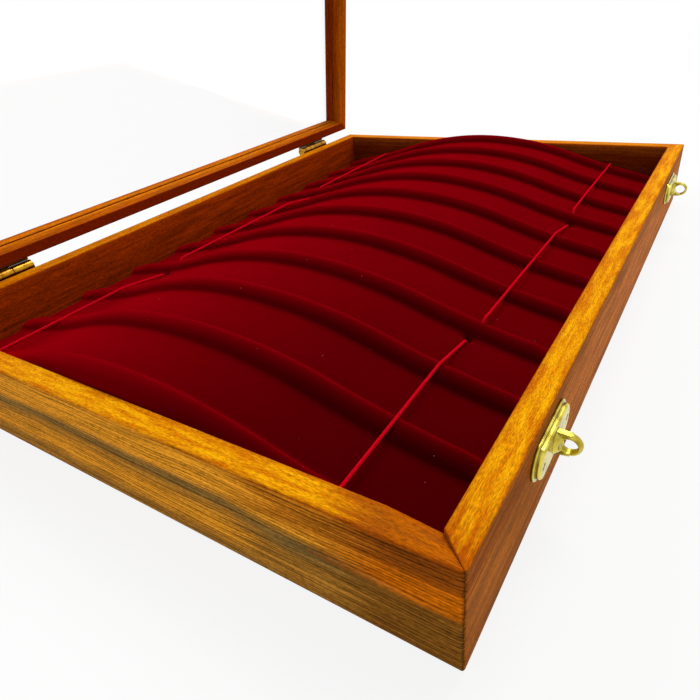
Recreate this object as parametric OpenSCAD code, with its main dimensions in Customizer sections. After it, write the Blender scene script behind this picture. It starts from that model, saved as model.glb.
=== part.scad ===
// Lidded wooden display case: a mitred tray holding a domed, ribbed velvet pad with
// two elastic retaining cords, under a hinged glazed lid that is closed by two swing hooks.
// Millimetres, +Z up. The origin is the middle of the underside, the front faces -Y.

/* [Case] */
// Length of the case, left to right
case_l = 420; // [300:1:600]
// Depth of the case, front to back
case_d = 296; // [240:1:400]
// Height of the case walls
case_h = 42; // [36:0.5:70]
// Thickness of the case walls
wall = 10; // [7:0.5:14]
// Thickness of the base panel
base_t = 4; // [3:0.5:6]
// Depth of the rebate in the walls that holds the base panel
base_rebate = 5; // [2:0.5:6]
// Radius of the sanded edges of the wood
arris_r = 0.8; // [0.3:0.1:1.5]
// Radius of the outer corners in plan
corner_r = 1.6; // [0.5:0.1:3]
// Height by which the left wall is sanded low beside its front mitre
mitre_step = 2.6; // [0.5:0.1:4]
// Length over which that low spot runs out along the left wall
mitre_run = 22; // [10:1:40]

/* [Pad] */
// Height of the channels at the crown, above the underside of the case
pad_crest = 43; // [34:0.5:50]
// Height of the channels at the front and back walls
pad_edge = 15.6; // [10:0.1:22]
// Radius of the hollow sweep at the foot of the dome
foot_r = 400; // [250:5:450]
// Slope at which that sweep meets the front and back walls
foot_slope = 8.5; // [7:0.5:12]
// Number of ribs, the two beside the end walls included
rib_count = 11; // [7:1:15]
// Radius of a rib's round back
rib_r = 5.5; // [3:0.1:7]
// Height of a rib above the channels
rib_h = 5; // [3:0.1:6]
// Distance from an end wall to the middle of the rib beside it
rib_end = 6.5; // [5.9:0.1:12]
// Ribs counted from each end wall to the rib that ties the cord down
tie_rib = 3; // [1:1:4]

/* [Elastic cords] */
// Diameter of the elastic cord
cord_d = 1.4; // [1:0.1:2]
// Distance from the front or back wall to its cord
cord_inset = 38; // [20:1:60]

/* [Lid] */
// Angle by which the lid stands open
lid_open = 83; // [0:1:180]
// Height of the lid frame
lid_h = 20; // [16:0.5:30]
// Thickness of the lid frame
lid_wall = 7; // [6.5:0.5:12]
// Thickness of the glass
glass_t = 2; // [1.5:0.5:3]
// Distance from the lower edge of the lid to the glass
glass_in = 10.5; // [10:0.5:12]
// Depth of the groove that holds the glass
groove_d = 3; // [2:0.5:3.5]
// Gap between the closed lid and the rim
lid_gap = 0.5; // [0.3:0.1:1.5]

/* [Hinges] */
// Distance from the end of the case to the middle of a hinge
hinge_inset = 58; // [40:1:100]
// Length of a hinge
hinge_l = 36; // [24:1:50]
// Width of a hinge leaf, from the joint line
leaf_w = 13; // [10:0.5:15]
// Thickness of a hinge leaf
leaf_t = 1.2; // [0.8:0.1:2]
// Radius of the hinge knuckles
knuckle_r = 3.2; // [2.5:0.1:4]
// Radius of the hinge pin
pin_r = 1.4; // [1:0.1:1.6]

/* [Catches] */
// Distance from the end of the case to the middle of a catch
catch_inset = 69; // [50:1:120]
// Height of the eye above the underside
eye_z = 29; // [22:0.5:30]
// Length of a catch plate
plate_l = 37; // [34:1:50]
// Height of a catch plate
plate_h = 14; // [13:0.5:15]
// Thickness of a catch plate
plate_t = 2.8; // [2:0.1:3.5]
// Distance between the two screws of a catch plate
plate_pitch = 27; // [24:0.5:28]
// Radius of the hole through the eye
eye_r = 2.9; // [2.9:0.1:3.5]
// Thickness of the ring around that hole
ring_t = 1.3; // [1.2:0.1:1.6]
// Width of the ring along the case
ring_w = 2.8; // [2.4:0.1:4]
// Distance from the front face to the middle of the eye
eye_out = 7.1; // [7:0.1:9]
// Height of the hook's rivet above the lower edge of the lid
hook_rise = 8; // [7.6:0.1:8.4]
// Radius of the hook's rod
rod_r = 1.4; // [1.2:0.1:1.6]

/* [Screws] */
// Radius of a countersunk screw head
head_r = 2.5; // [2:0.1:3]
// Radius of a screw shank
shank_r = 1.1; // [0.8:0.1:1.4]
// Length of a screw from the top of its head
screw_l = 8; // [6:0.5:8]

/* [Hidden] */
// Fits
pad_gap = 0.3;
panel_gap = 0.2;
glass_gap = 0.15;
pane_gap = 0.5;
rib_gap = 0.15;
seat_gap = 0.05;
lap = 0.02;
lap_turn = 0.3;
hinge_gap = 0.3;
knuckle_gap = 0.2;
running_gap = 0.05;
cord_gap = 0.15;
cut = 1;

// Dome of the pad: a round crown that meets a hollow foot on each side
pad_half = case_d / 2 - wall - pad_gap;
pad_l = case_l - 2 * wall - 2 * pad_gap;
pad_drop = pad_crest - pad_edge;
foot_y = pad_half + foot_r * sin(foot_slope);
foot_z = pad_edge + foot_r * cos(foot_slope);
dome_turn = 2 * atan((pad_drop + foot_r * (1 - cos(foot_slope))) / foot_y);
dome_r = foot_y / sin(dome_turn) - foot_r;
foot_turn = dome_turn + lap_turn;
crown_half = dome_r * sin(dome_turn);
crown_base = pad_crest - dome_r * (1 - cos(dome_turn));

// Ribs and cords
first_rib = -case_l / 2 + wall + rib_end;
rib_pitch = -2 * first_rib / (rib_count - 1);
rib_half = sqrt(pow(rib_r, 2) - pow(rib_r - rib_h, 2));
cord_y = case_d / 2 - wall - cord_inset;
tunnel_gap = 0.25;
tunnel_r = cord_d / 2 + tunnel_gap;
tunnel_rise = 1.5;
tuck_x = case_l / 2 - wall - cord_d / 2 - cord_gap;
tuck_foot = 4;
bend_fall = 2.2;
bend_out = 1.4;
bend_dip = 0.5;
cord_sides = 8;

// Lid and hinge line
lid_z = case_h + lid_gap;
glass_z = lid_z + glass_in;
pane_inset = 2 * (lid_wall - groove_d + pane_gap);
pin_y = case_d / 2 + leaf_t + knuckle_r + hinge_gap;
pin_z = case_h + lid_gap / 2;
hinge_x = case_l / 2 - hinge_inset;
knuckle_l = hinge_l / 3;
leaf_screw_pitch = hinge_l * 2 / 3;
leaf_screw_out = (leaf_w + knuckle_r) / 2;

// Catches
catch_x = case_l / 2 - catch_inset;
hook_z = lid_z + hook_rise;
hook_reach = hook_z - eye_z;
hook_flat = 0.2;
hook_t = 2 * rod_r + hook_flat;
hook_disc_r = 4.6;
hook_lead = 24;
hook_tip = 12;
ball_grow = 0.4;
ball_r = rod_r + ball_grow;
rivet_r = 1.5;
rivet_head_r = 2.8;
tail_t = 0.7;
boss_r = 4.2;
plate_base = 1.1;
plate_step = 1.2;
base_edge = 0.5;
face_edge = 0.9;
ring_r = eye_r + ring_t;
ring_round = 0.6 * ring_w;
root_r = 4.6;
root_top = eye_out - eye_r / 2;
root_top_r = 2.4;
root_set = 0.25;

// Each edge of the root's web runs from the plate to touch the ring
root_span = norm([eye_out - plate_t, root_r]);
root_run = sqrt(pow(root_span, 2) - pow(ring_r, 2));
root_lean = atan2(root_r, eye_out - plate_t) - asin(ring_r / root_span);
touch_out = plate_t + root_run * cos(root_lean);
touch_half = root_r - root_run * sin(root_lean);

// Screw heads
head_t = 1.3;
slot_l = 1.4 * head_r;
slot_w = 0.6;
slot_t = 0.6;

$fn = 64;

SIDES = ["left", "right"];

// Height of a curve that runs a fixed distance above the channels, at distance y from the middle
function above_pad(y, rise) =
    abs(y) < (dome_r + rise) * sin(dome_turn)
        ? pad_crest - dome_r + sqrt(pow(dome_r + rise, 2) - pow(y, 2))
        : foot_z - sqrt(pow(foot_r - rise, 2) - pow(foot_y - abs(y), 2));

function rib_x(i) = first_rib + i * rib_pitch;

function is_tie(i) = i == tie_rib || i == rib_count - 1 - tie_rib;

function side_sign(side) = side == "left" ? -1 : 1;

// Bars and frames

// Cuts a quarter-round edge into a corner at the origin of the first quadrant
module arris_cut(r) {
    difference() {
        translate([-cut, -cut])
            square(r + cut);
        translate([r, r])
            circle(r);
    }
}

// Section of a bar with sanded edges: its outer face is at x = 0 and its underside at y = 0
module bar_section(w, h) {
    difference() {
        square([w, h]);
        arris_cut(arris_r);
        translate([0, h])
            mirror([0, 1])
                arris_cut(arris_r);
        translate([w, h])
            rotate(180)
                arris_cut(arris_r);
    }
}

// Outline of a frame in plan, with rounded corners
module rounded_plan(l, d, r) {
    square([l - 2 * r, d], center = true);
    square([l, d - 2 * r], center = true);
    for (x = [-1, 1], y = [-1, 1])
        translate([x * (l / 2 - r), y * (d / 2 - r)])
            circle(r);
}

// A bar of the given section along X, mitred at both ends, with its outer face at y = -span / 2
module mitred_bar(length, span, width, height) {
    intersection() {
        translate([-length / 2, -span / 2, 0])
            rotate([90, 0, 90])
                linear_extrude(length)
                    children();
        linear_extrude(height)
            polygon([
                [-length / 2, -span / 2],
                [length / 2, -span / 2],
                [length / 2 - width, -span / 2 + width],
                [-length / 2 + width, -span / 2 + width]
            ]);
    }
}

// Turns a bar made for the front to another side of the frame
module to_side(turn) {
    rotate([0, 0, turn])
        children();
}

// Fasteners

// A countersunk screw along -Z, its head flush with z = 0; grow widens it to make its hole
module screw(grow = 0) {
    translate([0, 0, -head_t - grow])
        cylinder(h = head_t + grow, r1 = shank_r + grow, r2 = head_r + grow);
    translate([0, 0, -screw_l - grow])
        cylinder(h = screw_l, r = shank_r + grow);
}

module slotted_screw() {
    difference() {
        screw();
        for (turn = [0, 90])
            rotate([0, 0, turn])
                translate([-slot_l / 2, -slot_w / 2, -slot_t])
                    cube([slot_l, slot_w, slot_t + cut]);
    }
}

// Places children on the outer face of a catch plate at its screws
module at_plate_screws() {
    for (x = [-1, 1])
        translate([x * plate_pitch / 2, 0, plate_t])
            children();
}

// Places children on the outer face of a leaf at its screws, up = 1 for the lid and -1 for the case
module at_leaf_screws(up) {
    for (x = [-1, 1])
        translate([x * leaf_screw_pitch / 2, case_d / 2 + leaf_t, pin_z + up * leaf_screw_out])
            rotate([-90, 0, 0])
                children();
}

module at_hinges() {
    for (x = [-hinge_x, hinge_x])
        translate([x, 0, 0])
            children();
}

// Local frame on the front face: x along the case, y up, z out of the face
module on_front(x, z) {
    translate([x, -case_d / 2, z])
        rotate([90, 0, 0])
            children();
}

module at_eyes() {
    for (x = [-catch_x, catch_x])
        on_front(x, eye_z)
            children();
}

module at_hooks() {
    for (x = [-catch_x, catch_x])
        on_front(x, hook_z)
            children();
}

// Carries a piece of the closed lid to where the lid stands
module open_lid() {
    translate([0, pin_y, pin_z])
        rotate([-lid_open, 0, 0])
            translate([0, -pin_y, -pin_z])
                children();
}

// Case

module base_space(gap) {
    translate([0, 0, -cut])
        linear_extrude(base_t + cut)
            square([
                case_l - 2 * wall + 2 * base_rebate - 2 * gap,
                case_d - 2 * wall + 2 * base_rebate - 2 * gap
            ], center = true);
}

module case_wall(length, span, turn) {
    difference() {
        intersection() {
            to_side(turn)
                mitred_bar(length, span, wall, case_h)
                    bar_section(wall, case_h);
            linear_extrude(case_h)
                rounded_plan(case_l, case_d, corner_r);
        }
        base_space(0);
    }
}

module front_wall() {
    color("sienna")
        difference() {
            case_wall(case_l, case_d, 0);
            at_eyes()
                at_plate_screws()
                    screw(seat_gap);
        }
}

module back_wall() {
    color("sienna")
        difference() {
            case_wall(case_l, case_d, 180);
            at_hinges()
                at_leaf_screws(-1)
                    screw(seat_gap);
        }
}

// The low spot is a facet that falls across the wall towards the inner end of the mitre
module left_wall() {
    fall_along = atan(mitre_step / mitre_run);
    fall_across = atan((mitre_step * (1 + wall / mitre_run)) / wall);
    color("peru")
        difference() {
            case_wall(case_d, case_l, -90);
            translate([-case_l / 2, -case_d / 2, case_h])
                rotate([fall_along, fall_across, 0])
                    translate([-wall, -wall, 0])
                        cube([3 * wall, mitre_run + 2 * wall, wall]);
        }
}

module right_wall() {
    color("peru")
        case_wall(case_d, case_l, 90);
}

module base_panel() {
    color("burlywood")
        intersection() {
            base_space(panel_gap);
            translate([-case_l / 2, -case_d / 2, 0])
                cube([case_l, case_d, base_t]);
        }
}

// Pad

// Section of the dome: a crown arc between two hollow foot arcs
module dome_section() {
    intersection() {
        translate([0, pad_crest - dome_r])
            circle(dome_r, $fn = 360);
        translate([-crown_half, base_t])
            square([2 * crown_half, pad_crest - base_t]);
    }
    for (side = [-1, 1])
        difference() {
            translate([side > 0 ? crown_half - lap : -pad_half, base_t])
                square([pad_half - crown_half + lap, crown_base - base_t]);
            translate([side * foot_y, foot_z])
                circle(foot_r, $fn = 360);
        }
}

// Upright grooves at the end walls where the ends of the cords are tucked away
module tuck_grooves() {
    for (x = [-tuck_x, tuck_x], y = [-cord_y, cord_y])
        translate([x, y, base_t - cut])
            cylinder(h = pad_crest + rib_h + cut, r = tunnel_r);
}

module velvet_pad() {
    color("maroon")
        difference() {
            translate([-pad_l / 2, 0, 0])
                rotate([90, 0, 90])
                    linear_extrude(pad_l)
                        dome_section();
            tuck_grooves();
        }
}

// Half-round section of a rib: it stands on x = 0 and its back points to +x; grow thickens it
module rib_section(grow = 0) {
    intersection() {
        translate([rib_h - rib_r, 0])
            circle(rib_r + grow);
        translate([rib_gap - grow, -rib_r - grow])
            square([rib_h + 2 * grow, 2 * (rib_r + grow)]);
    }
}

// Carries the rib's section along an arc of the dome, from one angle to another
module rib_arc(y, z, from, turn) {
    translate([0, y, z])
        rotate([90, 0, 90])
            rotate([0, 0, from])
                rotate_extrude(angle = turn, $fn = 180)
                    children();
}

// The two foot arcs are a hair thicker than the crown's and lap over its ends; the walls trim them
module velvet_rib(i) {
    color("firebrick")
        difference() {
            intersection() {
                translate([rib_x(i), 0, 0]) {
                    rib_arc(0, pad_crest - dome_r, 90 - dome_turn, 2 * dome_turn)
                        translate([dome_r, 0])
                            rib_section();
                    for (side = [0, 1])
                        mirror([0, side, 0])
                            rib_arc(foot_y, foot_z, 270 - foot_turn, foot_turn - foot_slope)
                                translate([foot_r, 0])
                                    mirror([1, 0])
                                        rib_section(lap);
                }
                translate([-pad_l / 2, -pad_half, 0])
                    cube([pad_l, 2 * pad_half, pad_crest + rib_h + cut]);
            }
            if (is_tie(i))
                for (y = [-cord_y, cord_y])
                    translate([rib_x(i), y, above_pad(y, tunnel_rise)])
                        rotate([0, 90, 0])
                            cylinder(h = 2 * rib_r + 2 * cut, r = tunnel_r, center = true);
            if (i == 0 || i == rib_count - 1)
                tuck_grooves();
        }
}

// Elastic cords

// The cord's line in the XZ plane: up out of its groove, over the ribs and through the tied ones
function cord_line(y) =
    let (
        over = above_pad(y, rib_h + cord_d / 2 + cord_gap),
        under = above_pad(y, tunnel_rise),
        rise = [
            [-tuck_x, base_t + tuck_foot],
            [-tuck_x, over - bend_fall],
            [bend_out - tuck_x, over - bend_dip]
        ],
        run = [for (i = [0 : rib_count - 1])
            each is_tie(i)
                ? [[rib_x(i) - rib_half - cord_d, under], [rib_x(i) + rib_half + cord_d, under]]
                : [[rib_x(i), over]]]
    )
    concat(rise, run, [for (k = [2 : -1 : 0]) [-rise[k][0], rise[k][1]]]);

function unit(v) = v / norm(v);

// Direction across the line at point k, long enough to keep the tube's size round a bend
function line_normal(line, k) =
    let (
        last = len(line) - 1,
        before = unit(line[k] - line[max(k - 1, 0)] + (k == 0 ? line[1] - line[0] : [0, 0])),
        after = unit(line[min(k + 1, last)] - line[k] + (k == last ? line[last] - line[last - 1] : [0, 0])),
        middle = unit(before + after)
    )
    [-middle[1], middle[0]] / (middle * before);

module cord_tube(y) {
    line = cord_line(y);
    n = cord_sides;
    rings = len(line);
    points = [for (k = [0 : rings - 1], s = [0 : n - 1])
        let (across = line_normal(line, k) * cord_d / 2 * sin(s * 360 / n))
        [line[k][0] + across[0], y + cord_d / 2 * cos(s * 360 / n), line[k][1] + across[1]]];
    sides = [for (k = [0 : rings - 2], s = [0 : n - 1])
        let (a = k * n + s, b = k * n + (s + 1) % n)
        each [[a, a + n, b], [b, a + n, b + n]]];
    ends = [for (s = [1 : n - 2])
        each [[0, s, s + 1], [(rings - 1) * n, (rings - 1) * n + s + 1, (rings - 1) * n + s]]];
    polyhedron(points, concat(sides, ends));
}

module elastic(y) {
    color("crimson")
        cord_tube(y);
}

// Hinges

module along_pin(from, to, r) {
    translate([from, pin_y, pin_z])
        rotate([0, 90, 0])
            cylinder(h = to - from, r = r);
}

// A leaf above the hinge line: an upright plate whose lower end is cranked out to the knuckles
module leaf_plate() {
    shelf_z = knuckle_r - hinge_gap - leaf_t;
    translate([-hinge_l / 2, case_d / 2, shelf_z]) {
        cube([hinge_l, leaf_t, leaf_w - shelf_z]);
        cube([hinge_l, pin_y - case_d / 2, leaf_t]);
    }
}

// One leaf on the back face: up = 1 is the lid's, with the middle knuckle, -1 the case's
module hinge_leaf(up) {
    half = hinge_l / 2;
    own = up > 0
        ? [[-knuckle_l / 2 + knuckle_gap, knuckle_l / 2 - knuckle_gap]]
        : [[-half, -knuckle_l / 2 - knuckle_gap], [knuckle_l / 2 + knuckle_gap, half]];
    other = up > 0
        ? [[-half - cut, -knuckle_l / 2 + knuckle_gap], [knuckle_l / 2 - knuckle_gap, half + cut]]
        : [[-knuckle_l / 2 - knuckle_gap, knuckle_l / 2 + knuckle_gap]];
    color("gold")
        difference() {
            union() {
                translate([0, 0, pin_z])
                    mirror([0, 0, up > 0 ? 0 : 1])
                        leaf_plate();
                for (span = own)
                    along_pin(span[0], span[1], knuckle_r);
            }
            for (span = other)
                along_pin(span[0], span[1], knuckle_r + hinge_gap);
            along_pin(-half - cut, half + cut, pin_r + running_gap);
            at_leaf_screws(up)
                screw(seat_gap);
        }
}

module hinge_pin() {
    color("goldenrod")
        along_pin(-hinge_l / 2, hinge_l / 2, pin_r);
}

module hinge_case_screws() {
    color("khaki")
        at_hinges()
            at_leaf_screws(-1)
                slotted_screw();
}

module hinge_lid_screws() {
    color("khaki")
        open_lid()
            at_hinges()
                at_leaf_screws(1)
                    slotted_screw();
}

// Catches

// One tier of a plate's half section, with a round edge
module plate_tier(w, t, edge) {
    difference() {
        square([w, t]);
        translate([w, t])
            rotate(180)
                arris_cut(edge);
    }
}

// Half of a plate's section, from its middle line outwards
module plate_half() {
    plate_tier(plate_h / 2, plate_base, base_edge);
    plate_tier(plate_h / 2 - plate_step, plate_t, face_edge);
}

// The plate's section carried along its middle and turned round its two ends
module plate_form() {
    straight = plate_l - plate_h;
    translate([-straight / 2, 0, 0])
        rotate([90, 0, 90])
            linear_extrude(straight) {
                plate_half();
                mirror([1, 0])
                    plate_half();
            }
    for (end = [-1, 1])
        translate([end * straight / 2, 0, 0])
            rotate([0, 0, -90 * end])
                rotate_extrude(angle = 180)
                    plate_half();
}

// A shank whose tail is clenched into a countersink at z = 0; grow widens it to make its hole
module clenched_shank(height, grow = 0) {
    cylinder(h = height, r = rivet_r + grow);
    cylinder(h = tail_t + grow, r1 = rivet_r + tail_t + grow, r2 = rivet_r + grow);
}

// A two-tier plate with round ends, screwed to the wood, with a boss in its middle
module catch_plate(boss) {
    difference() {
        union() {
            plate_form();
            cylinder(h = boss, r = boss_r);
        }
        at_plate_screws()
            screw(seat_gap);
        clenched_shank(boss + cut, seat_gap);
    }
}

module eye_plate(side) {
    color("gold")
        on_front(side_sign(side) * catch_x, eye_z)
            catch_plate(plate_t);
}

// Barrel-shaped ring on a webbed, conical root, clenched through its plate: the hole runs along the case
module eye(side) {
    color("gold")
        on_front(side_sign(side) * catch_x, eye_z)
            difference() {
                union() {
                    intersection() {
                        translate([0, 0, eye_out])
                            rotate([0, 90, 0])
                                rotate_extrude()
                                    ring_section();
                        translate([-ring_w, -ring_r, plate_t])
                            cube([2 * ring_w, 2 * ring_r, eye_out + ring_r]);
                    }
                    translate([0, 0, plate_t])
                        cylinder(h = root_top - plate_t, r1 = root_r, r2 = root_top_r);
                    rotate([0, -90, 0])
                        linear_extrude(ring_w - 2 * root_set, center = true)
                            polygon([
                                [plate_t, root_r], [touch_out, touch_half],
                                [touch_out, -touch_half], [plate_t, -root_r]
                            ]);
                    clenched_shank(root_top);
                }
                translate([0, 0, eye_out])
                    rotate([0, 90, 0])
                        cylinder(h = 2 * root_r, r = eye_r, center = true);
            }
}

// Section of the ring: flat inside, round outside
module ring_section() {
    intersection() {
        translate([eye_r - cut / 2, -ring_w / 2])
            square([ring_t + cut / 2, ring_w]);
        translate([ring_r - ring_round, 0])
            circle(ring_round);
    }
}

module eye_plate_screws() {
    color("khaki")
        at_eyes()
            at_plate_screws()
                slotted_screw();
}

// The hook's plate carries a boss that holds the hook level with the eye
module hook_plate(side) {
    color("gold")
        open_lid()
            on_front(side_sign(side) * catch_x, hook_z)
                catch_plate(eye_out - hook_t / 2 - running_gap);
}

module hook_rivet(side) {
    head_z = eye_out + hook_t / 2 + running_gap;
    color("goldenrod")
        open_lid()
            on_front(side_sign(side) * catch_x, hook_z) {
                clenched_shank(head_z);
                translate([0, 0, head_z])
                    intersection() {
                        translate([0, 0, -rivet_head_r / 2])
                            sphere(rivet_head_r);
                        cylinder(h = rivet_head_r, r = rivet_head_r);
                    }
            }
}

// A round rod from the rivet out to an arc about it, whose ball end swings through the eye.
// It is drawn swung aside, a quarter turn from the eye.
module hook(side) {
    color("gold")
        open_lid()
            on_front(side_sign(side) * catch_x, hook_z)
                mirror([side == "left" ? 0 : 1, 0, 0])
                    translate([0, 0, eye_out])
                        difference() {
                            hook_form();
                            cylinder(h = hook_t + 2 * cut, r = rivet_r + running_gap, center = true);
                        }
}

module hook_form() {
    cylinder(h = hook_t, r = hook_disc_r, center = true);
    rotate([0, 0, hook_lead])
        translate([hook_disc_r / 2, 0, 0])
            rotate([0, 90, 0])
                cylinder(h = hook_reach - hook_disc_r / 2, r = rod_r);
    rotate([0, 0, -hook_tip])
        rotate_extrude(angle = hook_lead + hook_tip)
            translate([hook_reach, 0])
                circle(rod_r);
    for (turn = [-hook_tip, hook_lead])
        rotate([0, 0, turn])
            translate([hook_reach, 0, 0])
                sphere(ball_r);
}

module hook_plate_screws() {
    color("khaki")
        open_lid()
            at_hooks()
                at_plate_screws()
                    slotted_screw();
}

// Lid

// Section of the lid frame: a bar with a groove for the glass in its inner face
module lid_section() {
    difference() {
        bar_section(lid_wall, lid_h);
        translate([lid_wall - groove_d, glass_in - glass_gap])
            square([groove_d + cut, glass_t + 2 * glass_gap]);
    }
}

module lid_bar(length, span, turn) {
    translate([0, 0, lid_z])
        intersection() {
            to_side(turn)
                mitred_bar(length, span, lid_wall, lid_h)
                    lid_section();
            linear_extrude(lid_h)
                rounded_plan(case_l, case_d, corner_r);
        }
}

module lid_front_rail() {
    color("chocolate")
        open_lid()
            difference() {
                lid_bar(case_l, case_d, 0);
                at_hooks()
                    at_plate_screws()
                        screw(seat_gap);
            }
}

module lid_back_rail() {
    color("chocolate")
        open_lid()
            difference() {
                lid_bar(case_l, case_d, 180);
                at_hinges()
                    at_leaf_screws(1)
                        screw(seat_gap);
            }
}

module lid_stile(turn) {
    color("chocolate")
        open_lid()
            lid_bar(case_d, case_l, turn);
}

module glass_pane() {
    color("lightcyan", 0.3)
        open_lid()
            translate([0, 0, glass_z])
                linear_extrude(glass_t)
                    square([case_l - pane_inset, case_d - pane_inset], center = true);
}

front_wall();
back_wall();
left_wall();
right_wall();
base_panel();
velvet_pad();
for (i = [1 : rib_count])
    velvet_rib(i - 1);
elastic(-cord_y);  // front_elastic
elastic(cord_y);  // back_elastic
for (s = SIDES) {
    translate([side_sign(s) * hinge_x, 0, 0]) hinge_leaf(-1);
    open_lid() translate([side_sign(s) * hinge_x, 0, 0]) hinge_leaf(1);
    translate([side_sign(s) * hinge_x, 0, 0]) hinge_pin();
    eye_plate(s);
    eye(s);
    hook_plate(s);
    hook_rivet(s);
    hook(s);
}
hinge_case_screws();
hinge_lid_screws();
eye_plate_screws();
hook_plate_screws();
lid_front_rail();
lid_back_rail();
lid_stile(-90);  // lid_left_stile
lid_stile(90);  // lid_right_stile
glass_pane();
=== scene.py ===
import math
from collections import namedtuple

import bpy
import numpy as np
from mathutils import Euler, Matrix, Vector


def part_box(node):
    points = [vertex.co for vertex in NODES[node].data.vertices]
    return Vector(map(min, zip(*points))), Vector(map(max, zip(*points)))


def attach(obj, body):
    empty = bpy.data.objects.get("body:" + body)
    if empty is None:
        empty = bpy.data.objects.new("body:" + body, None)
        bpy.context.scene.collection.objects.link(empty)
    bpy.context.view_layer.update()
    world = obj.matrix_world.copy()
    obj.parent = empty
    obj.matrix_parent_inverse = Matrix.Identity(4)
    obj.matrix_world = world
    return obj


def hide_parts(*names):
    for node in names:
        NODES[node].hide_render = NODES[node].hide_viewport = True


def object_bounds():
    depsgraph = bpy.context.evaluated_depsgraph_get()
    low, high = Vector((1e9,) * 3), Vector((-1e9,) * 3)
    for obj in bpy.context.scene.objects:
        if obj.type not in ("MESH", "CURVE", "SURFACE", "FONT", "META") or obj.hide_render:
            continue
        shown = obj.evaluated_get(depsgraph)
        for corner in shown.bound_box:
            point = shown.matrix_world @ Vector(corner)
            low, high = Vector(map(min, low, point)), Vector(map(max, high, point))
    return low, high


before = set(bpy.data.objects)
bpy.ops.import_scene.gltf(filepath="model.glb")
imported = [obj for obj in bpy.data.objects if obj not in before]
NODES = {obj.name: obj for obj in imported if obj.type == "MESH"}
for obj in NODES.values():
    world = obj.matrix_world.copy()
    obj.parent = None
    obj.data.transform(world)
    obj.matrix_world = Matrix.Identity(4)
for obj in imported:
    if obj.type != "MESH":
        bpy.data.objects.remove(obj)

# The glazed wooden display case, its lid standing open over the ribbed velvet pad.
CAD_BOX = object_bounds()
MM = 0.001

# Viewpoint: close over the near front corner, looking along the pad towards the lid
CAMERA_AT = (-0.28907, -0.17861, 0.15602)
CAMERA_RIGHT = (0.53003, -0.84287, -0.09293)
CAMERA_UP = (0.48790, 0.21349, 0.84639)
CAMERA_LENS = 29.048
CAMERA_SENSOR = 36.0

# Line of the hinge pins, about which the lid stands open
HINGE_LINE = np.mean(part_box("left_hinge_pin"), axis=0)

# Velvet pad: a crown arc that runs into a hollow foot arc at the front and back walls
PAD_LOW, PAD_HIGH = (np.array(corner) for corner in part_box("velvet_pad"))
PAD_HALF_X = PAD_HIGH[0]
PAD_HALF_Y = PAD_HIGH[1]
PAD_BOTTOM = PAD_LOW[2]
PAD_CREST = PAD_HIGH[2]
PAD_EDGE = 15.6 * MM
FOOT_R = 400 * MM
FOOT_SLOPE = math.radians(8.5)
FOOT_Y = PAD_HALF_Y + FOOT_R * math.sin(FOOT_SLOPE)
FOOT_Z = PAD_EDGE + FOOT_R * math.cos(FOOT_SLOPE)
CROWN_TURN = 2 * math.atan((PAD_CREST - PAD_EDGE + FOOT_R * (1 - math.cos(FOOT_SLOPE))) / FOOT_Y)
CROWN_R = FOOT_Y / math.sin(CROWN_TURN) - FOOT_R

# Ribs across the pad, and the elastic cords over them
RIBS = [f"velvet_rib_{k + 1}" for k in range(11)]
RIB_X = [np.mean(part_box(rib), axis=0)[0] for rib in RIBS]
TIE_RIBS = (3, 7)
RIB_R = 5.5 * MM
RIB_H = 5 * MM
CORD_Y = 100 * MM
CORD_D = 1.4 * MM
CORD_GAP = 0.15 * MM

# A cord's path into a tied rib and out of it, as distances from the rib's crest and heights over the pad
CORD_IN = ((-10.6 * MM, 1.1 * MM), (-9.2 * MM, -3 * MM), (-3 * MM, -2 * MM))
CORD_OUT = ((4 * MM, 3.4 * MM), (6.5 * MM, 5.5 * MM))
HOLE_AT = (-8.0 * MM, 4.2 * MM)

# Each cord: its straight line, how deep it is pulled into the ribs, and how far hand stitching leaves it off
# that line at the left wall, on either side of each tied rib, and at the right wall
Cord = namedtuple("Cord", "line pull strays")
STITCH_REACH = 8.5 * MM
CORDS = {
    "front_elastic": Cord(-CORD_Y, 0.0, np.array([0.5, 2, -1, -2, -1, -1]) * MM),
    "back_elastic": Cord(CORD_Y, 0.8 * MM, np.array([-2, -2.5, -2.5, -2.5, -2, -1.5]) * MM),
}
STITCHES = [-PAD_HALF_X,
            *(RIB_X[k] + side for k in TIE_RIBS for side in (-STITCH_REACH, STITCH_REACH)),
            PAD_HALF_X]


def place_camera():
    """Stands the camera at the viewpoint; its back direction is the cross product of right and up."""
    back = np.cross(CAMERA_RIGHT, CAMERA_UP)
    data = bpy.data.cameras.new("viewpoint")
    data.sensor_fit = "HORIZONTAL"
    data.sensor_width = CAMERA_SENSOR
    data.lens = CAMERA_LENS
    data.clip_start = 10 * MM
    camera = bpy.data.objects.new("viewpoint", data)
    bpy.context.scene.collection.objects.link(camera)
    axes = np.stack([CAMERA_RIGHT, CAMERA_UP, back, CAMERA_AT], axis=1)
    camera.matrix_world = Matrix(np.vstack([axes, (0, 0, 0, 1)]).tolist())
    bpy.context.scene.camera = camera


place_camera()


# Mesh making

def mesh_piece(name, points, faces, uv=None):
    """Makes a smooth-shaded object from points and equal-sided faces, with one UV pair for each point."""
    mesh = bpy.data.meshes.new(name)
    sides = faces.shape[1]
    mesh.vertices.add(len(points))
    mesh.vertices.foreach_set("co", points.ravel())
    mesh.loops.add(faces.size)
    mesh.loops.foreach_set("vertex_index", faces.ravel())
    mesh.polygons.add(len(faces))
    mesh.polygons.foreach_set("loop_start", np.arange(0, faces.size, sides))
    mesh.update(calc_edges=True)
    mesh.validate()
    mesh.polygons.foreach_set("use_smooth", np.ones(len(mesh.polygons), dtype=bool))
    if uv is not None:
        layer = mesh.uv_layers.new(name="surface")
        layer.data.foreach_set("uv", uv[faces.ravel()].ravel())
    piece = bpy.data.objects.new(name, mesh)
    bpy.context.scene.collection.objects.link(piece)
    return piece


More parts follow.
